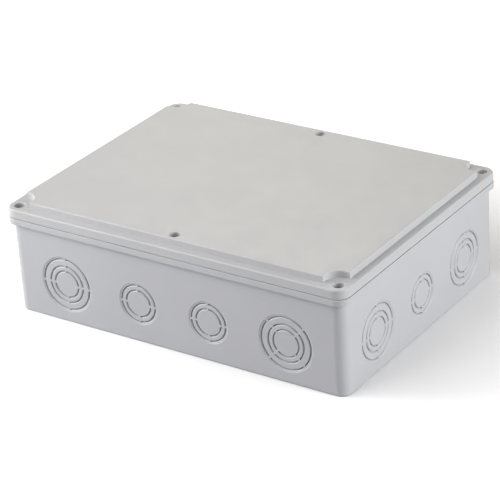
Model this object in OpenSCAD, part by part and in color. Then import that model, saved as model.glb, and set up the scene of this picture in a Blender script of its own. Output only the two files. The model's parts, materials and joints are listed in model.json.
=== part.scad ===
// Surface-mounted electrical junction box with knockouts, a screwed lid and a terminal rail.
// Origin: centre of the underside. +X along the long side, -Y is the front, +Z towards the lid.

/* [Enclosure] */
// Outside length over the lid and flange
box_l = 400; // [390:1:420]
// Outside width over the lid and flange
box_w = 300; // [290:1:320]
// Overall height, underside to the raised field of the lid
box_h = 122.6; // [120:0.2:130]
// Wall thickness of the base
wall = 3; // [2.6:0.1:3.6]
// How far the flange stands out from the base walls
flange_out = 4.2; // [3:0.1:5]
// Height of the flange
flange_h = 6.6; // [5:0.1:8]
// Outer radius of the base's upright corners
body_r = 11; // [9:0.5:14]

/* [Lid] */
// Height of the lid's rim, seam to ledge
rim_h = 9.8; // [9.4:0.1:12]
// How far the raised field stands above the ledge
field_step = 7.2; // [6:0.1:9]
// Width of the ledge round the raised field
ledge_w = 9; // [7:0.5:10]
// Radius of the scallop cut round each corner screw
scallop_r = 15.5; // [14:0.5:18]
// Outer radius of the lid's corners
lid_r = 13; // [11:0.5:16]
// Open seam between lid and flange
seam = 0.6; // [0.3:0.1:1]

/* [Lid screws] */
// Inset of the corner screws from the outside faces
screw_inset = 12; // [11.6:0.1:12.4]
// Inset of the mid-side screws from the long faces
mid_inset = 17.6; // [16:0.1:19]
// Radius of the counterbore over each screw
counterbore_r = 5.4; // [5:0.1:6]
// Full turns a captive screw makes as it is undone
screw_turns = 12; // [8:1:12]

/* [Knockouts] */
// Height of the knockout centres above the underside
knockout_z = 42.5; // [38:0.5:50]
// Radius of the outermost ring, which only the large knockouts have
outer_ring_r = 27.9; // [26:0.1:29]
// Radius of the middle ring
middle_ring_r = 20.1; // [19:0.1:22]
// Radius of the innermost ring
inner_ring_r = 14.4; // [12:0.1:15]
// Width of a scored ring
score_w = 1; // [0.8:0.1:1.5]
// Depth of a scored ring below the dish
score_depth = 1.8; // [1.2:0.1:2]
// Chamfer on both lips of a scored ring
score_lip = 0.7; // [0.4:0.1:1]
// Width of the tabs that bridge a ring
tab_w = 2.2; // [1.5:0.1:4]
// Depth of the shallow dish a knockout lies in
dish_depth = 0.4; // [0.2:0.1:0.6]

/* [Fittings] */
// Length of the steel mounting plate
plate_l = 320; // [310:2:330]
// Width of the mounting plate
plate_w = 228; // [220:2:234]
// Thickness of the mounting plate
plate_t = 2; // [1.5:0.5:2.5]
// Length of the terminal rail
rail_l = 250; // [160:5:280]
// Width of one terminal along the rail
terminal_w = 16; // [14:1:18]

/* [Hidden] */
$fn = 64;
eps = 0.01;

lid_grey = [0.79, 0.785, 0.765];
base_grey = [0.75, 0.76, 0.78];
steel = [0.72, 0.73, 0.74];
brass = [0.78, 0.62, 0.32];
copper = [0.8, 0.48, 0.32];
seal_grey = [0.2, 0.2, 0.21];
terminal_grey = [0.55, 0.57, 0.58];
earth_green = [0.2, 0.55, 0.25];

// Levels, from the top down
ledge_z = box_h - field_step;
lid_z = ledge_z - rim_h;
base_top = lid_z - seam;
flange_z = base_top - flange_h;

body_l = box_l - 2 * flange_out;
body_w = box_w - 2 * flange_out;
lid_l = box_l - 0.8;
lid_w = box_w - 0.8;

// Lid screws: four corners, then the middle of the back and front sides
corner_screws = [for (sx = [-1, 1], sy = [-1, 1])
    [sx * (box_l / 2 - screw_inset), sy * (box_w / 2 - screw_inset)]];
mid_screws = [for (sy = [-1, 1]) [0, sy * (box_w / 2 - mid_inset)]];
screw_places = concat(corner_screws, mid_screws);

screw_r = 2.5;
screw_pitch = 0.8;
screw_l = 22;
screw_travel = screw_turns * screw_pitch;
clear_r = 2.8;
head_r = 4.6;
head_h = 3.2;
head_chamfer = 1.2;
bore_chamfer_w = 0.5;
seat_z = lid_z + 2.4;
insert_r = 3.5;
insert_h = 10;
washer_t = 1;
washer_r = 3.8;
washer_z = lid_z - screw_travel - washer_t - 0.2;
insert_top = washer_z - 0.4;
pillar_r = 14;
pocket_r = 11.2;
column_r = 5.8;
column_bore_r = 4.2;
column_rib_t = 2.2;

// Seal: a tongue on the base stands in a groove of the lid, under a gasket
seal_screw_r = 10.8;
seal_corner_r = 6;
tongue_t = 1.6;
groove_t = 4;
groove_wall = 2.6;
tongue_inset = (groove_t - tongue_t) / 2;
seal_l = body_l - 2 * wall + groove_t + tongue_t;
seal_w = body_w - 2 * wall + groove_t + tongue_t;
groove_top = lid_z + 8;
gasket_h = 3;
tongue_top = groove_top - gasket_h - 0.02;

// Knockouts: distances from the middle of each face, and the flat round the outer ring
large_rings = [outer_ring_r, middle_ring_r, inner_ring_r];
small_rings = [middle_ring_r, inner_ring_r];
large_x = 130.8;
small_x = 41.8;
large_y = 85;
dish_margin = 2.2;

// Raised field
field_edge_r = 1.1;
field_half = [box_l / 2 - ledge_w, box_w / 2 - ledge_w];

// Fixing posts, plate and rail
fixing_pitch = [352, 224];
fixing_r = 3.25;
post_r = 8;
post_top = 12;
post_seat = 6;
post_bore_r = 6;
cap_t = 1.5;
floor_rib = [2, 4];
plate_pitch = [290, 206];
plate_z = 15;
plate_post_r = 6;
plate_screw_r = 1.75;
plate_top = plate_z + plate_t;
rail_w = 35;
rail_h = 7.5;
rail_t = 1;
rail_base_w = 27;
rail_top = plate_top + rail_h;
rail_screw_x = 100;
rail_screw_r = 2.5;
earth_place = [-130, -92];
earth_bolt_r = 3;
earth_flats = 10;

// Terminals: housings on the rail, two clamps in each
terminal_count = 4;
terminal_l = 62;
terminal_h = 46;
terminal_x = [for (i = [0:terminal_count - 1]) (i - (terminal_count - 1) / 2) * terminal_w];
clamp_y = 19;
clamp_places = [for (x = terminal_x, sy = [-1, 1]) [x, sy * clamp_y]];
busbar = [8, 50, 3];
busbar_z = rail_top + 25;
cage = [11.6, 9.6];
cage_window = [8.8, 11.2];
cage_floor_t = 2.4;
cage_top_t = 4;
cage_z = busbar_z + busbar.z + 0.3 - cage_window.y - cage_floor_t;
cage_h = cage_floor_t + cage_window.y + cage_top_t;
cage_travel = 7;
clamp_head_z = cage_z + cage_h + cage_travel + 0.4;
clamp_head_r = 3.9;
clamp_head_h = 4;

// End stops, one beyond each end of the terminals
stop_w = 9.6;
stop_x = (terminal_count * terminal_w + stop_w + 0.8) / 2;
stop_seat = 12;
stop_screw_r = 1.95;
stop_head_r = 3.2;

function corners(pitch) = [for (sx = [-1, 1], sy = [-1, 1]) [sx * pitch[0] / 2, sy * pitch[1] / 2]];

// ---- Shared shapes ----

module at(places) {
    for (p = places) translate(p) children();
}

module rounded_rect(l, w, r) {
    square([l - 2 * r, w], center = true);
    square([l, w - 2 * r], center = true);
    at(corners([l - 2 * r, w - 2 * r])) circle(r);
}

// Edge outline from the axis of a corner arc outwards, with its outer edges rounded
module edge_outline(r, h, top_r, foot_r) {
    difference() {
        square([r, h]);
        if (top_r > 0) translate([r - top_r, h - top_r]) difference() {
            square(top_r + 1);
            circle(top_r);
        }
        if (foot_r > 0) translate([r - foot_r, -1]) difference() {
            square([foot_r + 1, foot_r + 1]);
            translate([0, foot_r + 1]) circle(foot_r);
        }
    }
}

// A slab with rounded upright corners and rounded top and bottom edges
module slab(l, w, h, r, top_r = 0, foot_r = 0) {
    cx = l / 2 - r;
    cy = w / 2 - r;
    translate([-cx, -cy, 0]) cube([2 * cx, 2 * cy, h]);
    for (a = [0, 180]) rotate(a) {
        translate([-cx, cy, 0]) rotate([90, 0, 90]) linear_extrude(2 * cx) edge_outline(r, h, top_r, foot_r);
        translate([cx, cy, 0]) rotate([90, 0, 0]) linear_extrude(2 * cy) edge_outline(r, h, top_r, foot_r);
        translate([cx, cy, 0]) rotate_extrude(angle = 90) edge_outline(r, h, top_r, foot_r);
        translate([-cx, cy, 0]) rotate(90) rotate_extrude(angle = 90) edge_outline(r, h, top_r, foot_r);
    }
}

module tube(outer, inner, h) {
    linear_extrude(h) difference() {
        circle(outer);
        circle(inner);
    }
}

// A disc round each lid screw, carried out to the wall at the mid-side screws
module screw_zones(r) {
    at(screw_places) circle(r);
    for (a = [0, 180]) rotate(a) translate([-r, box_w / 2 - mid_inset]) square([2 * r, mid_inset]);
}

// The area inside the seal, which steps in round every lid screw. A positive inset shrinks it.
module seal_area(inset) {
    difference() {
        rounded_rect(seal_l - 2 * inset, seal_w - 2 * inset, seal_corner_r);
        screw_zones(seal_screw_r + inset);
    }
}

module seal_strip(inset, thickness) {
    difference() {
        seal_area(inset);
        seal_area(inset + thickness);
    }
}

// ---- Base ----

// Cross-section of a scored ring: a slot with chamfered lips, its mouth at height 0
module score_outline() {
    half = score_w / 2;
    mouth = half + score_lip;
    polygon([[-half, -score_depth], [half, -score_depth], [half, -score_lip], [mouth, 0],
             [mouth, dish_depth], [-mouth, dish_depth], [-mouth, 0], [-half, -score_lip]]);
}

module scored_ring(r, turn) {
    tab = 2 * asin(tab_w / 2 / r);
    for (a = [0:90:270]) rotate(a + turn + tab / 2)
        rotate_extrude(angle = 90 - tab) translate([r, 0]) score_outline();
}

// A knockout on the XY plane, the wall below it
module knockout(rings, turn = 0) {
    dish_r = rings[0] + dish_margin;
    translate([0, 0, -dish_depth]) {
        cylinder(r1 = dish_r, r2 = dish_r + 3 * dish_depth, h = 2 * dish_depth);
        for (r = rings) scored_ring(r, turn);
    }
}

// Knockouts along one face, centred, with the outward normal along +Z before they are placed
module long_face_knockouts() {
    for (sx = [-1, 1]) {
        translate([sx * large_x, 0, 0]) knockout(large_rings, sx > 0 ? 45 : 0);
        translate([sx * small_x, 0, 0]) knockout(small_rings);
    }
}

module short_face_knockouts() {
    for (sx = [-1, 1]) translate([sx * large_y, 0, 0]) knockout(large_rings);
    knockout(small_rings);
}

module all_knockouts() {
    for (a = [0, 180]) rotate(a) {
        translate([0, -body_w / 2, knockout_z]) rotate([90, 0, 0]) long_face_knockouts();
        translate([body_l / 2, 0, knockout_z]) rotate([90, 0, 90]) short_face_knockouts();
    }
}

// Bulges in the wall that carry the seal round each lid screw
module lid_pillars() {
    linear_extrude(base_top - wall + 0.5) intersection() {
        rounded_rect(body_l - 1, body_w - 1, body_r - 0.5);
        screw_zones(pillar_r);
    }
}

// Open pockets inside the bulges, which leave a ribbed column under each screw
module pillar_pockets() {
    translate([0, 0, wall]) linear_extrude(box_h) difference() {
        intersection() {
            rounded_rect(body_l - 2 * wall, body_w - 2 * wall, body_r - wall);
            screw_zones(pocket_r);
        }
        at(screw_places) {
            circle(column_r);
            square([column_rib_t, 2 * pillar_r], center = true);
        }
    }
}

module tongue() {
    translate([0, 0, base_top - 0.5]) linear_extrude(tongue_top - base_top + 0.5)
        seal_strip(tongue_inset, tongue_t);
}

module base_shell() {
    color(base_grey) difference() {
        union() {
            difference() {
                union() {
                    slab(body_l, body_w, base_top - 1, body_r, 0, 1.8);
                    translate([0, 0, flange_z]) slab(box_l, box_w, flange_h, lid_r, 0.6, 0.6);
                }
                translate([0, 0, wall])
                    slab(body_l - 2 * wall, body_w - 2 * wall, box_h, body_r - wall, 0, 3);
            }
            translate([0, 0, wall - 0.5]) lid_pillars();
            tongue();
            translate([0, 0, wall - 1]) {
                at(corners(fixing_pitch)) cylinder(r = post_r, h = post_top - wall + 1);
                at(corners(plate_pitch)) cylinder(r = plate_post_r, h = plate_z - wall + 1);
            }
            floor_ribs();
        }
        pillar_pockets();
        at(screw_places) {
            translate([0, 0, insert_top]) cylinder(r = column_bore_r, h = 50);
            translate([0, 0, insert_top - insert_h]) cylinder(r = insert_r, h = insert_h + 1);
            translate([0, 0, insert_top - insert_h - 8]) cylinder(r = clear_r, h = 9);
        }
        at(corners(fixing_pitch)) {
            translate([0, 0, -1]) cylinder(r = fixing_r, h = 20);
            translate([0, 0, post_seat]) cylinder(r = post_bore_r, h = 20);
        }
        at(corners(plate_pitch)) translate([0, 0, wall]) cylinder(r = plate_screw_r + 0.05, h = 20);
        all_knockouts();
    }
}

// Low stiffening ribs on the floor
module floor_ribs() {
    for (x = [-85, 0, 85]) translate([x - floor_rib.x / 2, -body_w / 2 + wall - 0.5, wall - 0.5])
        cube([floor_rib.x, body_w - 2 * wall + 1, floor_rib.y + 0.5]);
    for (y = [-60, 60]) translate([-body_l / 2 + wall - 0.5, y - floor_rib.x / 2, wall - 0.5])
        cube([body_l - 2 * wall + 1, floor_rib.x, floor_rib.y + 0.5]);
}

// ---- Lid ----

// Outline of the raised field: a rectangle with a scallop round each corner screw
module field_outline() {
    difference() {
        square(2 * field_half, center = true);
        at(corner_screws) circle(scallop_r);
    }
}

// Cutter that rounds an edge of radius r, its corner at the origin, the solid towards -X and -Y
module edge_cutter(r) {
    translate([-r, -r]) difference() {
        square(r + 0.8);
        circle(r);
    }
}

// Cutters along the top edge of the field: four straight ones, and a ring round each scallop
module field_edge_rounding() {
    translate([0, 0, box_h]) {
        for (a = [0, 180]) rotate(a) {
            translate([-box_l / 2, field_half.y, 0]) rotate([90, 0, 90])
                linear_extrude(box_l) edge_cutter(field_edge_r);
            translate([field_half.x, box_w / 2, 0]) rotate([90, 0, 0])
                linear_extrude(box_w) edge_cutter(field_edge_r);
        }
        at(corner_screws) rotate_extrude() translate([scallop_r, 0]) mirror([1, 0]) edge_cutter(field_edge_r);
    }
}

// Cutter that chamfers the mouth of a counterbore
module bore_chamfer() {
    translate([0, 0, -bore_chamfer_w])
        cylinder(r1 = counterbore_r, r2 = counterbore_r + 2 * bore_chamfer_w, h = 2 * bore_chamfer_w);
}

module lid() {
    color(lid_grey) difference() {
        union() {
            translate([0, 0, lid_z]) slab(lid_l, lid_w, rim_h, lid_r, 1.5, 0.4);
            difference() {
                translate([0, 0, ledge_z - 1]) linear_extrude(field_step + 1) field_outline();
                field_edge_rounding();
            }
        }
        translate([0, 0, lid_z - 1]) linear_extrude(box_h - wall - lid_z + 1) difference() {
            rounded_rect(2 * (field_half.x - wall), 2 * (field_half.y - wall), 3);
            at(corner_screws) circle(scallop_r + wall);
            screw_zones(seal_screw_r + groove_t + groove_wall);
        }
        translate([0, 0, lid_z - 1]) linear_extrude(groove_top - lid_z + 1) seal_strip(0, groove_t);
        at(screw_places) {
            translate([0, 0, lid_z - 1]) cylinder(r = clear_r, h = 20);
            translate([0, 0, seat_z]) cylinder(r = counterbore_r, h = 40);
        }
        at(corner_screws) translate([0, 0, ledge_z]) bore_chamfer();
        at(mid_screws) translate([0, 0, box_h]) bore_chamfer();
    }
}

module lid_gasket() {
    color(seal_grey) translate([0, 0, groove_top - gasket_h]) linear_extrude(gasket_h - 0.02)
        seal_strip(0.1, groove_t - 0.2);
}

// ---- Lid fasteners ----

module cross_recess(size, depth) {
    for (a = [0, 90]) rotate(a) translate([-size / 2, -size / 8, -depth]) cube([size, size / 4, depth + 1]);
}

module lid_screw(place) {
    color(steel) translate([place[0], place[1], seat_z]) difference() {
        union() {
            cylinder(r = head_r, h = head_h - head_chamfer);
            translate([0, 0, head_h - head_chamfer])
                cylinder(r1 = head_r, r2 = head_r - head_chamfer, h = head_chamfer);
            translate([0, 0, -screw_l + 1]) cylinder(r = screw_r, h = screw_l);
            translate([0, 0, -screw_l]) cylinder(r1 = screw_r - 1, r2 = screw_r, h = 1);
        }
        translate([0, 0, head_h]) cross_recess(5.4, 2.2);
    }
}

module retaining_washer(place) {
    color(seal_grey) translate([place[0], place[1], washer_z]) tube(washer_r, screw_r + 0.05, washer_t);
}

module threaded_inserts() {
    color(brass) at(screw_places) translate([0, 0, insert_top - insert_h])
        tube(insert_r - 0.02, screw_r + 0.1, insert_h);
}

// ---- Back fixing ----

module fixing_hole_caps() {
    color(base_grey) at(corners(fixing_pitch)) {
        translate([0, 0, post_top + 0.02]) cylinder(r = post_r - 0.3, h = cap_t);
        translate([0, 0, post_seat + 3.5]) cylinder(r = post_bore_r - 0.06, h = post_top - post_seat - 3);
    }
}

// ---- Plate, rail and earth point ----

module mounting_plate() {
    color(steel) translate([0, 0, plate_z]) linear_extrude(plate_t) difference() {
        rounded_rect(plate_l, plate_w, 6);
        at(corners(plate_pitch)) circle(2.7);
        translate(earth_place) circle(earth_bolt_r + 0.1);
        for (sx = [-1, 1]) translate([sx * rail_screw_x, 0]) circle(rail_screw_r + 0.1);
    }
}

// Pan-head screw, head seated on the XY plane, shank down
module pan_screw(head, head_t, shank, l) {
    difference() {
        union() {
            cylinder(r = head, h = head_t - 0.8);
            translate([0, 0, head_t - 0.8]) cylinder(r1 = head, r2 = head - 1, h = 0.8);
            translate([0, 0, -l]) cylinder(r = shank, h = l + 1);
        }
        translate([0, 0, head_t]) cross_recess(head * 1.1, head_t * 0.55);
    }
}

module plate_screws() {
    color(steel) translate([0, 0, plate_top + eps]) at(corners(plate_pitch))
        pan_screw(4.4, 3, plate_screw_r, 11);
}

module hex_nut(flats, hole, h) {
    linear_extrude(h) difference() {
        circle(r = flats / 2 / cos(30), $fn = 6);
        circle(hole);
    }
}

module earth_bolt() {
    color(brass) translate([earth_place[0], earth_place[1], 0]) {
        translate([0, 0, plate_z - 4 - eps]) cylinder(r = earth_flats / 2 / cos(30), h = 4, $fn = 6);
        translate([0, 0, plate_z - 1]) cylinder(r = earth_bolt_r, h = 20);
    }
}

module earth_nuts() {
    color(brass) translate([earth_place[0], earth_place[1], plate_top])
        for (z = [1.1, 8.2]) translate([0, 0, z]) hex_nut(earth_flats, earth_bolt_r + 0.06, 5);
}

module earth_washers() {
    color(steel) translate([earth_place[0], earth_place[1], plate_top])
        for (z = [0.02, 6.12, 7.15]) translate([0, 0, z]) tube(6, earth_bolt_r + 0.1, 1);
}

module rail_outline() {
    for (sx = [-1, 1]) {
        translate([sx * (rail_w + rail_base_w) / 4, rail_h - rail_t / 2])
            square([(rail_w - rail_base_w) / 2, rail_t], center = true);
        translate([sx * (rail_base_w - rail_t) / 2, rail_h / 2]) square([rail_t, rail_h], center = true);
    }
    translate([0, rail_t / 2]) square([rail_base_w, rail_t], center = true);
}

module slot(l, r, h) {
    translate([-(l / 2 - r), -r, 0]) cube([l - 2 * r, 2 * r, h]);
    for (sx = [-1, 1]) translate([sx * (l / 2 - r), 0, 0]) cylinder(r = r, h = h);
}

module din_rail() {
    color(steel) translate([0, 0, plate_top + eps]) difference() {
        translate([-rail_l / 2, 0, 0]) rotate([90, 0, 90]) linear_extrude(rail_l) rail_outline();
        for (x = [-100:25:100]) translate([x, 0, -1]) slot(15, rail_screw_r + 0.1, 4);
    }
}

module rail_screws() {
    color(steel) for (sx = [-1, 1]) translate([sx * rail_screw_x, 0, plate_top + rail_t + 2 * eps])
        pan_screw(4.8, 3, rail_screw_r, 8);
}

module rail_nuts() {
    color(steel) for (sx = [-1, 1]) translate([sx * rail_screw_x, 0, plate_z - 4.02])
        hex_nut(8, rail_screw_r + 0.06, 4);
}

// ---- Terminals ----

// Side outline of a rail-mounted block: feet hooked under the rail's edges, shoulders chamfered
module block_outline(l, h) {
    difference() {
        polygon([[-l / 2, 5], [-l / 2, h - 12], [-l / 2 + 7, h], [l / 2 - 7, h], [l / 2, h - 12],
                 [l / 2, 5], [21.5, 1.5], [21.5, -3.2], [-21.5, -3.2], [-21.5, 1.5]]);
        translate([-rail_w / 2 - 0.2, -rail_t - 0.15]) square([rail_w + 0.4, rail_t + 0.2]);
        translate([-15, -4]) square([30, 4]);
        translate([-8, h - 3]) square([16, 4]);
    }
}

module block(l, h, w) {
    translate([-w / 2, 0, rail_top + eps]) rotate([90, 0, 90]) linear_extrude(w) block_outline(l, h);
}

module terminal_block() {
    pocket_z = cage_z - 0.3;
    pocket_h = cage_h + cage_travel + 0.5;
    difference() {
        block(terminal_l, terminal_h, terminal_w - 0.2);
        for (sy = [-1, 1]) translate([0, sy * clamp_y, 0]) {
            translate([-6.1, -5.3, pocket_z]) cube([12.2, 10.6, pocket_h]);
            translate([0, 0, pocket_z + 1]) cylinder(r = 4.3, h = 60);
            translate([0, 0, cage_z + cage_floor_t + 4.4]) rotate([-90 * sy, 0, 0]) cylinder(r = 4.6, h = 20);
        }
        translate([-busbar.x / 2 - 0.05, -busbar.y / 2 - 0.05, busbar_z - 0.05])
            cube([busbar.x + 0.1, busbar.y + 0.1, busbar.z + 0.1]);
    }
}

module terminal_housings() {
    color(terminal_grey) for (i = [0:terminal_count - 2])
        translate([terminal_x[i], 0, 0]) terminal_block();
}

module earth_terminal_housing() {
    color(earth_green) translate([terminal_x[terminal_count - 1], 0, 0]) terminal_block();
}

module terminal_busbars() {
    color(copper) for (x = terminal_x) translate([x - busbar.x / 2, -busbar.y / 2, busbar_z]) cube(busbar);
}

module clamp_cage(place) {
    color(steel) translate([place[0], place[1], cage_z]) difference() {
        translate([-cage.x / 2, -cage.y / 2, 0]) cube([cage.x, cage.y, cage_h]);
        translate([-cage_window.x / 2, -cage.y, cage_floor_t])
            cube([cage_window.x, 2 * cage.y, cage_window.y]);
        translate([0, 0, cage_floor_t + 1]) cylinder(r = screw_r + 0.06, h = 40);
    }
}

module clamp_screw(place) {
    shank_l = clamp_head_z - busbar_z - busbar.z - 0.05;
    color(steel) translate([place[0], place[1], clamp_head_z]) difference() {
        union() {
            cylinder(r = clamp_head_r, h = clamp_head_h);
            translate([0, 0, -shank_l]) cylinder(r = screw_r, h = shank_l + 1);
        }
        translate([-5, -0.6, clamp_head_h - 1.6]) cube([10, 1.2, 5]);
    }
}

module end_stops() {
    color(terminal_grey) for (sx = [-1, 1]) translate([sx * stop_x, 0, 0]) difference() {
        block(46, 30, stop_w);
        translate([0, 0, rail_top + 4]) cylinder(r = stop_screw_r + 0.1, h = 60);
        translate([0, 0, rail_top + stop_seat]) cylinder(r = stop_head_r + 0.2, h = 60);
    }
}

module end_stop_screws() {
    color(steel) for (sx = [-1, 1]) translate([sx * stop_x, 0, rail_top + stop_seat + 2 * eps])
        pan_screw(stop_head_r, 2.4, stop_screw_r, 6.5);
}

// ---- Output ----

base_shell();
lid();
lid_gasket();
threaded_inserts();
for (i = [0:5]) {
    lid_screw(screw_places[i]);
    retaining_washer(screw_places[i]);
}
fixing_hole_caps();
mounting_plate();
plate_screws();
earth_bolt();
earth_nuts();
earth_washers();
din_rail();
rail_screws();
rail_nuts();
end_stops();
end_stop_screws();
terminal_housings();
earth_terminal_housing();
terminal_busbars();
for (i = [0:7]) {
    clamp_screw(clamp_places[i]);
    clamp_cage(clamp_places[i]);
}
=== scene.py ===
"""Looks for the electrical junction box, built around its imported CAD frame."""

import math

import bmesh
import bpy
from mathutils import Matrix, Vector
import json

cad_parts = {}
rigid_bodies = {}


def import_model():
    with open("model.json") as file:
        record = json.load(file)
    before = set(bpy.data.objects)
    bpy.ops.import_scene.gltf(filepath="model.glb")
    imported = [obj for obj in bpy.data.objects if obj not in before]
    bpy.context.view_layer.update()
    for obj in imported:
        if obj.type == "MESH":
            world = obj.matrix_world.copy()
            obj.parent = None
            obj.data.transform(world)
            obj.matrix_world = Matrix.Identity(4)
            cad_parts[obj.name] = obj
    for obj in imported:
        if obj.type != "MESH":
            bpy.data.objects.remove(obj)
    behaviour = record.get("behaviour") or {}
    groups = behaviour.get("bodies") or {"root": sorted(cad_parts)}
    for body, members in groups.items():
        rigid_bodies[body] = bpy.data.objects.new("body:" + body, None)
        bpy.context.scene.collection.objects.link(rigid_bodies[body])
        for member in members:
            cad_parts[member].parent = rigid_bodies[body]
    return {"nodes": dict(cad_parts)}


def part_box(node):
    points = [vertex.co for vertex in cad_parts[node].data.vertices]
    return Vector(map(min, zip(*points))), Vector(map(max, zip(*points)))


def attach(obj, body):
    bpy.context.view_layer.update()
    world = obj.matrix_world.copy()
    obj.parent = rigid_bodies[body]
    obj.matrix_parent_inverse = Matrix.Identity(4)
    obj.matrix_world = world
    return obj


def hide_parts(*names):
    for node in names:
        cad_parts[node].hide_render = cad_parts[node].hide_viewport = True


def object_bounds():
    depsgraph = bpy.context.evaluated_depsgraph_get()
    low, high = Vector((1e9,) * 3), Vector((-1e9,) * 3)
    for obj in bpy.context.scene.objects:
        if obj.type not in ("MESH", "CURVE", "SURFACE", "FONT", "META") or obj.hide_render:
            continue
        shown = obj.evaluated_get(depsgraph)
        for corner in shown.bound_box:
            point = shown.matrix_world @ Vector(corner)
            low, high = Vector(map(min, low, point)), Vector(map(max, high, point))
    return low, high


for leftover in list(bpy.data.objects):
    bpy.data.objects.remove(leftover)
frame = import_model()
cad_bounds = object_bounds()

MM = 0.001

# ---- Colours, linear ----

LID_GREY = (0.496, 0.499, 0.509)
BASE_GREY = (0.488, 0.493, 0.514)
FLOOR_WHITE = (0.95, 0.95, 0.95)
TERMINAL_GREY = (0.2, 0.21, 0.22)
NYLON_BLACK = (0.03, 0.03, 0.032)
EARTH_GREEN = (0.03, 0.2, 0.04)
EARTH_YELLOW = (0.75, 0.55, 0.03)
BAND_WAVE = 360.0  # radians per metre of the yellow bands
FOAM_DARK = (0.02, 0.02, 0.021)
FOAM_PALE = (0.05, 0.05, 0.052)
ZINC = (0.72, 0.72, 0.7)
SPANGLE_DARK = (0.42, 0.44, 0.46)
SPANGLE_PALE = (0.56, 0.58, 0.6)
BRASS = (0.75, 0.55, 0.25)
COPPER = (0.85, 0.45, 0.3)

# ---- Floor: its glow to the camera far from the box, and the share of its white that lights the box ----

FLOOR_GLOW = 0.7
FLOOR_BOUNCE = 0.5
GLOW_START = 0.2
GLOW_END = 1.1
FLOOR_SIZE = 30.0
FLOOR_GAP = 0.0002

# ---- Camera: where it stands round the box, and where the box's origin sits before it ----

CAMERA_AZIMUTH = 0.61602
CAMERA_ELEVATION = 0.46632
CAMERA_ROLL = -0.06596
ORIGIN_FROM_CAMERA = Vector((0.00799, 2.3078, -0.0407))
CAMERA_LENS = 161.43
SENSOR_WIDTH = 36.0

# ---- Studio light: dim surroundings, the softboxes' aim, then each one's place, size, power and colour ----

WORLD_LIGHT = 0.02
LIGHT_AIM = (0, 0, 0.05)
LIGHTS = {
    "key_back_left": ((-0.7, 1.1, 0.95), 0.7, 5.3, (1.0, 0.955, 0.79)),
    "key_top": ((-0.2, -0.3, 1.6), 1.0, 4.0, (1.0, 0.96, 0.88)),
    "fill_front": ((-0.9, -1.5, 1.5), 1.8, 31.5, (0.965, 0.955, 1.0)),
    "fill_left": ((-1.3, -0.7, 0.55), 0.8, 20.5, (1.0, 1.0, 0.98)),
    "fill_right": ((2.5, 0.3, 0.85), 1.5, 73.0, (1.0, 1.0, 1.0)),
}

# ---- Lid screw: sizes in metres, then shares of a radius or height, then counts of facets ----

SCREW_COUNT = 6
SCREW_SHANK_R = 2.5 * MM
SCREW_ROOT_R = 2.13 * MM
SCREW_PITCH = 0.8 * MM
SCREW_HEAD_R = 4.6 * MM
SCREW_HEAD_H = 3.2 * MM
RECESS_DEPTH = 2.1 * MM
CUTTER_OVERLAP = 0.05 * MM
SHANK_IN_HEAD = 0.4 * MM
POINT_LENGTH = 2.5 * SCREW_PITCH
POINT_SHARE = 0.62
CREST_GAIN = 1.35
DOME_SHARE = 0.34
LIP_SHARE = 0.05
RECESS_ARM_SHARE = 1.18
RECESS_WIDTH_SHARE = 0.26
RECESS_TAPER = 0.45
THREAD_COLUMNS = 28
THREAD_ROWS = 8
HEAD_SEGMENTS = 64
DOME_STEPS = 9
WELD_DISTANCE = 1e-7

# ---- Gasket cord ----

CORD_WELD = 1e-6
CORD_ROUNDING = 1.1 * MM
CORD_SEGMENTS = 5
CORD_SHARP_ANGLE = math.radians(50)

# ---- Range that a noise texture's value mostly stays in ----

NOISE_LOW = 0.3
NOISE_HIGH = 0.7


# ---- Node helpers ----

def feed(tree, socket, value):
    """Sets an input socket, from another node's output or from a plain value."""
    if isinstance(value, bpy.types.NodeSocket):
        tree.links.new(value, socket)
    else:
        socket.default_value = value


def add(tree, kind, inputs=None, **settings):
    """Adds a shader node, with each input given as a value or as a socket to link."""
    node = tree.nodes.new(kind)
    for key, value in settings.items():
        setattr(node, key, value)
    for key, value in (inputs or {}).items():
        feed(tree, node.inputs[key], value)
    return node


def noise(tree, scale, detail=2.0, roughness=0.5):
    """A noise value over the object's own coordinates, with the scale in features per metre."""
    place = add(tree, "ShaderNodeTexCoord").outputs["Object"]
    inputs = {"Vector": place, "Scale": scale, "Detail": detail, "Roughness": roughness}
    return add(tree, "ShaderNodeTexNoise", inputs).outputs["Fac"]


def ramp(tree, value, low, high, out_low=0.0, out_high=1.0):
    """Maps low..high onto out_low..out_high, held at both ends."""
    inputs = {"Value": value, "From Min": low, "From Max": high, "To Min": out_low, "To Max": out_high}
    return add(tree, "ShaderNodeMapRange", inputs).outputs["Result"]


def multiply(tree, first, second):
    return add(tree, "ShaderNodeMath", {0: first, 1: second}, operation="MULTIPLY").outputs[0]


def bump(tree, height, strength, distance, normal=None):
    inputs = {"Height": height, "Strength": strength, "Distance": distance}
    if normal is not None:
        inputs["Normal"] = normal
    return add(tree, "ShaderNodeBump", inputs).outputs["Normal"]


def mix_color(tree, share, first, second):
    """Blends two colours by a share. The node has sockets for each data type, so these go by number."""
    node = add(tree, "ShaderNodeMix", data_type="RGBA")
    feed(tree, node.inputs[0], share)
    feed(tree, node.inputs[6], first)
    feed(tree, node.inputs[7], second)
    return node.outputs[2]


def tint(color, factor=1.0):
    """The colour times the factor, with the opaque alpha that a socket wants."""
    return tuple(channel * factor for channel in color) + (1.0,)


def new_material(name):
    """A material, its node tree and its shader node."""
    material = bpy.data.materials.new(name)
    material.use_nodes = True
    return material, material.node_tree, material.node_tree.nodes["Principled BSDF"]


def soft_edge_normal(tree, radius):
    """A normal that shades sharp edges as if they were rounded by the radius."""
    return add(tree, "ShaderNodeBevel", {"Radius": radius}, samples=6).outputs["Normal"]


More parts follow.
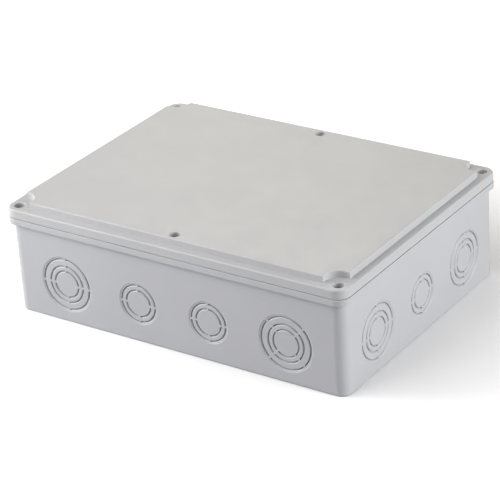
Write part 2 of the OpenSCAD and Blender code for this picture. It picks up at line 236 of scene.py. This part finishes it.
def edge_mask(tree, normal, spread):
    """Near 1 where the softened normal leaves the true one, which is along sharp edges."""
    true_normal = add(tree, "ShaderNodeNewGeometry").outputs["Normal"]
    dot = add(tree, "ShaderNodeVectorMath", {0: normal, 1: true_normal}, operation="DOT_PRODUCT")
    return ramp(tree, dot.outputs["Value"], 1.0, 1.0 - spread)


# ---- Materials ----

def moulded_plastic(name, color, roughness=0.48):
    """Lightly textured moulded plastic: cloudy colour, fine grain and a painted highlight that lightens
    sharp edges.
    """
    material, tree, shader = new_material(name)
    cloud = ramp(tree, noise(tree, scale=11, detail=4, roughness=0.6), NOISE_LOW, NOISE_HIGH)
    speck = ramp(tree, noise(tree, scale=2600, detail=1), NOISE_LOW, NOISE_HIGH)
    body = mix_color(tree, cloud, tint(color, 0.972), tint(color, 1.018))
    specked = mix_color(tree, multiply(tree, speck, 0.25), body, tint(color, 0.93))
    normal = soft_edge_normal(tree, 0.35 * MM)
    # Painted highlight: sharp edges are blended towards a brighter copy of the colour, standing in for light
    # caught on their rounding.
    edge_highlight = edge_mask(tree, normal, spread=0.35)
    feed(tree, shader.inputs["Base Color"],
         mix_color(tree, multiply(tree, edge_highlight, 0.5), specked, tint(color, 1.16)))
    sheen = noise(tree, scale=60, detail=3)
    feed(tree, shader.inputs["Roughness"],
         ramp(tree, sheen, NOISE_LOW, NOISE_HIGH, roughness - 0.05, roughness + 0.05))
    grain = noise(tree, scale=1500, detail=3, roughness=0.6)
    feed(tree, shader.inputs["Normal"], bump(tree, grain, strength=0.5, distance=0.035 * MM, normal=normal))
    feed(tree, shader.inputs["IOR"], 1.49)
    return material


def metal(name, color, roughness, grain=500, edge=0.15 * MM):
    """Bare or plated metal with a fine uneven shine and slow tarnish."""
    material, tree, shader = new_material(name)
    tarnish = ramp(tree, noise(tree, scale=120, detail=3), 0.35, 0.75)
    shine = noise(tree, scale=grain, detail=3, roughness=0.6)
    feed(tree, shader.inputs["Base Color"], mix_color(tree, tarnish, tint(color), tint(color, 0.9)))
    feed(tree, shader.inputs["Metallic"], 1.0)
    feed(tree, shader.inputs["Roughness"],
         ramp(tree, shine, NOISE_LOW, NOISE_HIGH, roughness - 0.04, roughness + 0.06))
    feed(tree, shader.inputs["Normal"],
         bump(tree, shine, strength=0.2, distance=0.01 * MM, normal=soft_edge_normal(tree, edge)))
    return material


def galvanised_sheet(name):
    """Zinc-coated sheet: large faint crystals of differing brightness."""
    material, tree, shader = new_material(name)
    place = add(tree, "ShaderNodeTexCoord").outputs["Object"]
    crystals = add(tree, "ShaderNodeTexVoronoi", {"Vector": place, "Scale": 130.0})
    spangle = add(tree, "ShaderNodeSeparateColor", {0: crystals.outputs["Color"]}).outputs[0]
    feed(tree, shader.inputs["Base Color"], mix_color(tree, spangle, tint(SPANGLE_DARK), tint(SPANGLE_PALE)))
    feed(tree, shader.inputs["Metallic"], 1.0)
    feed(tree, shader.inputs["Roughness"], ramp(tree, spangle, 0, 1, out_low=0.34, out_high=0.5))
    feed(tree, shader.inputs["Normal"], soft_edge_normal(tree, 0.2 * MM))
    return material


def foam_rubber(name):
    """Dull black foam whose cells show as fine pits."""
    material, tree, shader = new_material(name)
    cells = noise(tree, scale=1800, detail=3, roughness=0.7)
    feed(tree, shader.inputs["Base Color"], mix_color(tree, cells, tint(FOAM_DARK), tint(FOAM_PALE)))
    feed(tree, shader.inputs["Roughness"], 0.85)
    feed(tree, shader.inputs["Normal"], bump(tree, cells, strength=0.8, distance=0.1 * MM))
    return material


def banded_plastic(name):
    """Green plastic with yellow bands across it, as earth terminals have."""
    material, tree, shader = new_material(name)
    place = add(tree, "ShaderNodeTexCoord").outputs["Object"]
    along = add(tree, "ShaderNodeSeparateXYZ", {0: place}).outputs["Y"]
    wave = add(tree, "ShaderNodeMath", {0: multiply(tree, along, BAND_WAVE)}, operation="SINE").outputs[0]
    banded = mix_color(tree, ramp(tree, wave, 0.1, 0.2), tint(EARTH_GREEN), tint(EARTH_YELLOW))
    cloud = ramp(tree, noise(tree, scale=300, detail=3), NOISE_LOW, NOISE_HIGH, 0.9, 1.05)
    shaded = add(tree, "ShaderNodeVectorMath", {0: banded, 1: cloud}, operation="MULTIPLY").outputs[0]
    grain = noise(tree, scale=1500, detail=3)
    feed(tree, shader.inputs["Base Color"], shaded)
    feed(tree, shader.inputs["Roughness"], 0.4)
    feed(tree, shader.inputs["Normal"],
         bump(tree, grain, strength=0.4, distance=0.03 * MM, normal=soft_edge_normal(tree, 0.3 * MM)))
    return material


def pale_floor():
    """White floor. To the camera it glows away from the box, and it throws little light back on the box."""
    material, tree, shader = new_material("pale_floor")
    seen = add(tree, "ShaderNodeLightPath").outputs["Is Camera Ray"]
    white = mix_color(tree, noise(tree, scale=3), tint(FLOOR_WHITE, 0.995), tint(FLOOR_WHITE))
    place = add(tree, "ShaderNodeTexCoord").outputs["Object"]
    distance = add(tree, "ShaderNodeVectorMath", {0: place}, operation="LENGTH").outputs["Value"]
    glow = ramp(tree, distance, GLOW_START, GLOW_END, 0.0, FLOOR_GLOW)
    feed(tree, shader.inputs["Base Color"], mix_color(tree, seen, tint(FLOOR_WHITE, FLOOR_BOUNCE), white))
    feed(tree, shader.inputs["Emission Strength"], multiply(tree, seen, glow))
    feed(tree, shader.inputs["Emission Color"], (1.0, 1.0, 1.0, 1.0))
    feed(tree, shader.inputs["Roughness"], 0.9)
    feed(tree, shader.inputs["Specular IOR Level"], 0.1)
    return material


def dress(nodes, material):
    """Gives the material to each of the named CAD nodes."""
    for name in nodes:
        frame["nodes"][name].data.materials.clear()
        frame["nodes"][name].data.materials.append(material)


def nodes_starting(prefix):
    return [name for name in frame["nodes"] if name.startswith(prefix)]


def dress_cad_nodes(zinc):
    """Gives a material to every CAD node that stays visible."""
    dress(["lid"], moulded_plastic("lid_plastic", LID_GREY))
    dress(["base_shell", "fixing_hole_caps"], moulded_plastic("base_plastic", BASE_GREY))
    dress(["threaded_inserts", "earth_bolt", "earth_nuts"], metal("brass", BRASS, 0.3))
    dress(["plate_screws", "earth_washers", "rail_screws", "rail_nuts", "end_stop_screws", "din_rail"], zinc)
    dress(nodes_starting("clamp_screw_") + nodes_starting("clamp_cage_"), zinc)
    dress(nodes_starting("retaining_washer_"), moulded_plastic("black_nylon", NYLON_BLACK, 0.5))
    dress(["mounting_plate"], galvanised_sheet("galvanised_sheet"))
    dress(["terminal_housings", "end_stops"], moulded_plastic("terminal_grey", TERMINAL_GREY, 0.4))
    dress(["earth_terminal_housing"], banded_plastic("terminal_green_yellow"))
    dress(["terminal_busbars"], metal("copper", COPPER, 0.25))


# ---- Pieces ----

def new_object(name, mesh, smooth_angle=math.radians(35)):
    """Links the bmesh as an object, smooth apart from edges sharper than the angle."""
    for face in mesh.faces:
        face.smooth = True
    for edge in mesh.edges:
        edge.smooth = edge.is_manifold and edge.calc_face_angle(0.0) < smooth_angle
    data = bpy.data.meshes.new(name)
    mesh.to_mesh(data)
    mesh.free()
    made = bpy.data.objects.new(name, data)
    bpy.context.scene.collection.objects.link(made)
    return made


def lathe(profile, segments):
    """A bmesh turned about Z from (radius, height) points that start and end on the axis."""
    mesh = bmesh.new()
    rings = []
    for radius, height in profile:
        if radius == 0:
            rings.append([mesh.verts.new((0, 0, height))] * segments)
        else:
            angles = [2 * math.pi * i / segments for i in range(segments)]
            around = [(radius * math.cos(a), radius * math.sin(a), height) for a in angles]
            rings.append([mesh.verts.new(point) for point in around])
    for low, high in zip(rings, rings[1:]):
        for i in range(segments):
            j = (i + 1) % segments
            mesh.faces.new(list(dict.fromkeys((low[i], low[j], high[j], high[i]))))
    return mesh


def cut(target, cutter):
    """Takes the cutter object away from the target's mesh, then deletes the cutter."""
    modifier = target.modifiers.new("cut", "BOOLEAN")
    modifier.object = cutter
    modifier.solver = "EXACT"
    bpy.context.view_layer.update()
    evaluated = target.evaluated_get(bpy.context.evaluated_depsgraph_get())
    target.data = bpy.data.meshes.new_from_object(evaluated)
    target.modifiers.clear()
    bpy.data.objects.remove(cutter)


def cross_cutter(arm, width, depth, top):
    """Cross-shaped cutter whose arms shorten downwards from the height top."""
    mesh = bmesh.new()
    for turn in (0.0, math.pi / 2):
        for vertex in bmesh.ops.create_cube(mesh, size=1.0)["verts"]:
            taper = RECESS_TAPER if vertex.co.z < 0 else 1.0
            x, y = vertex.co.x * arm * taper, vertex.co.y * width
            vertex.co = (x * math.cos(turn) - y * math.sin(turn), x * math.sin(turn) + y * math.cos(turn),
                         top if vertex.co.z > 0 else top - depth)
    return new_object("cutter", mesh)


def thread_mesh(z_low, z_high):
    """A threaded shank: a grid sheared along the helix, so that crests and roots run true."""
    mesh = bmesh.new()
    turns = math.ceil((z_high - z_low) / SCREW_PITCH) + 1
    grid = []
    for row in range(-THREAD_ROWS, turns * THREAD_ROWS + 1):
        phase = (row % THREAD_ROWS) / THREAD_ROWS
        crest = 1 - abs(2 * phase - 1)
        ring = []
        for column in range(THREAD_COLUMNS):
            share = column / THREAD_COLUMNS
            helix = z_low + SCREW_PITCH * (row / THREAD_ROWS + share)
            height = min(max(helix, z_low), z_high)
            fade = min(1.0, (height - z_low) / SCREW_PITCH, (z_high - height) / SCREW_PITCH)
            point = min(1.0, POINT_SHARE + (height - z_low) / POINT_LENGTH)
            flank = min(1.0, CREST_GAIN * crest)
            radius = (SCREW_ROOT_R + (SCREW_SHANK_R - SCREW_ROOT_R) * flank * fade) * point
            angle = 2 * math.pi * share
            ring.append(mesh.verts.new((radius * math.cos(angle), radius * math.sin(angle), height)))
        grid.append(ring)
    for i in range(len(grid) - 1):
        low, high = grid[i], grid[i + 1]
        for column in range(THREAD_COLUMNS - 1):
            mesh.faces.new((low[column], low[column + 1], high[column + 1], high[column]))
        a_turn_on = i + THREAD_ROWS
        if a_turn_on + 1 < len(grid):
            mesh.faces.new((low[-1], grid[a_turn_on][0], grid[a_turn_on + 1][0], high[-1]))
    bmesh.ops.remove_doubles(mesh, verts=mesh.verts, dist=WELD_DISTANCE)
    bmesh.ops.dissolve_degenerate(mesh, dist=WELD_DISTANCE, edges=mesh.edges)
    bmesh.ops.holes_fill(mesh, edges=[edge for edge in mesh.edges if edge.is_boundary])
    bmesh.ops.recalc_face_normals(mesh, faces=mesh.faces)
    return mesh


def screw_head(seat):
    """Cheese head with a domed top, a rolled lip and a recess."""
    r, h = SCREW_HEAD_R, SCREW_HEAD_H
    dome_foot = seat + (1 - DOME_SHARE) * h
    angles = [math.pi / 2 * i / DOME_STEPS for i in range(DOME_STEPS)]
    dome = [(r * math.cos(a), dome_foot + DOME_SHARE * h * math.sin(a)) for a in angles]
    lip = [(r * (1 - LIP_SHARE), seat), (r, seat + LIP_SHARE * h)]
    head = new_object("head", lathe([(0, seat)] + lip + dome + [(0, seat + h)], HEAD_SEGMENTS))
    cutter_top = seat + h + CUTTER_OVERLAP
    cut(head, cross_cutter(RECESS_ARM_SHARE * r, RECESS_WIDTH_SHARE * r, RECESS_DEPTH, cutter_top))
    return head


def lid_screw(node, material):
    """A threaded captive screw in place of the plain one, seated where the CAD node is."""
    low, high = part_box(node)
    seat = high.z - SCREW_HEAD_H
    head = screw_head(seat)
    mesh = thread_mesh(low.z, seat + SHANK_IN_HEAD)
    mesh.from_mesh(head.data)
    bpy.data.objects.remove(head)
    bmesh.ops.translate(mesh, verts=mesh.verts, vec=((low.x + high.x) / 2, (low.y + high.y) / 2, 0))
    screw = new_object(node + "_threaded", mesh)
    screw.data.materials.append(material)
    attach(screw, node)
    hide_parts(node)


def gasket_cord(material):
    """The foam seal: the CAD strip with full round edges."""
    mesh = bmesh.new()
    mesh.from_mesh(frame["nodes"]["lid_gasket"].data)
    bmesh.ops.remove_doubles(mesh, verts=mesh.verts, dist=CORD_WELD)
    cord = new_object("gasket_cord", mesh, math.pi)
    cord.data.materials.append(material)
    bevel = cord.modifiers.new("round", "BEVEL")
    bevel.width = CORD_ROUNDING
    bevel.segments = CORD_SEGMENTS
    bevel.angle_limit = CORD_SHARP_ANGLE
    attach(cord, "lid")
    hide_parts("lid_gasket")


# ---- Stage ----

def camera_axes():
    """The camera's right, forward and up directions."""
    around = Matrix.Rotation(-CAMERA_AZIMUTH, 3, "Z")
    tip = Matrix.Rotation(CAMERA_ELEVATION, 3, "X")
    roll = Matrix.Rotation(CAMERA_ROLL, 3, "Y")
    return roll @ tip @ around


def make_camera():
    """The camera, placed so that the box's origin sits at ORIGIN_FROM_CAMERA along its own axes."""
    data = bpy.data.cameras.new("camera")
    data.lens = CAMERA_LENS
    data.sensor_width = SENSOR_WIDTH
    data.clip_end = 50.0
    camera = bpy.data.objects.new("camera", data)
    axes = camera_axes()
    right, forward, up = axes
    pose = Matrix((right, up, -forward)).transposed().to_4x4()
    pose.translation = -(axes.transposed() @ ORIGIN_FROM_CAMERA)
    camera.matrix_world = pose
    bpy.context.scene.collection.objects.link(camera)
    bpy.context.scene.camera = camera


def softbox(name, place, size, power, color):
    """A square area light turned towards LIGHT_AIM."""
    data = bpy.data.lights.new(name, "AREA")
    data.shape = "SQUARE"
    data.size = size
    data.energy = power
    data.color = color
    light = bpy.data.objects.new(name, data)
    light.location = place
    light.rotation_euler = (Vector(LIGHT_AIM) - Vector(place)).to_track_quat("-Z", "Y").to_euler()
    bpy.context.scene.collection.objects.link(light)


def make_world():
    """A white backdrop for the camera that lights the box only dimly."""
    world = bpy.data.worlds.new("studio")
    world.use_nodes = True
    tree = world.node_tree
    seen = add(tree, "ShaderNodeLightPath").outputs["Is Camera Ray"]
    background = tree.nodes["Background"]
    background.inputs["Color"].default_value = (1.0, 1.0, 1.0, 1.0)
    tree.links.new(ramp(tree, seen, 0, 1, WORLD_LIGHT, 1.0), background.inputs["Strength"])
    bpy.context.scene.world = world


def make_stage():
    bpy.ops.mesh.primitive_plane_add(size=FLOOR_SIZE, location=(0, 0, cad_bounds[0].z - FLOOR_GAP))
    floor = bpy.context.object
    floor.name = "floor"
    floor.data.materials.append(pale_floor())
    make_world()
    for name, (place, size, power, color) in LIGHTS.items():
        softbox(name, place, size, power, color)
    bpy.context.scene.view_settings.view_transform = "Standard"


dress_cad_nodes(metal("zinc_plate", ZINC, 0.3))
screw_zinc = metal("screw_zinc", ZINC, 0.32, grain=90, edge=0.03 * MM)
for number in range(1, SCREW_COUNT + 1):
    lid_screw(f"lid_screw_{number}", screw_zinc)
gasket_cord(foam_rubber("seal_rubber"))
make_camera()
make_stage()
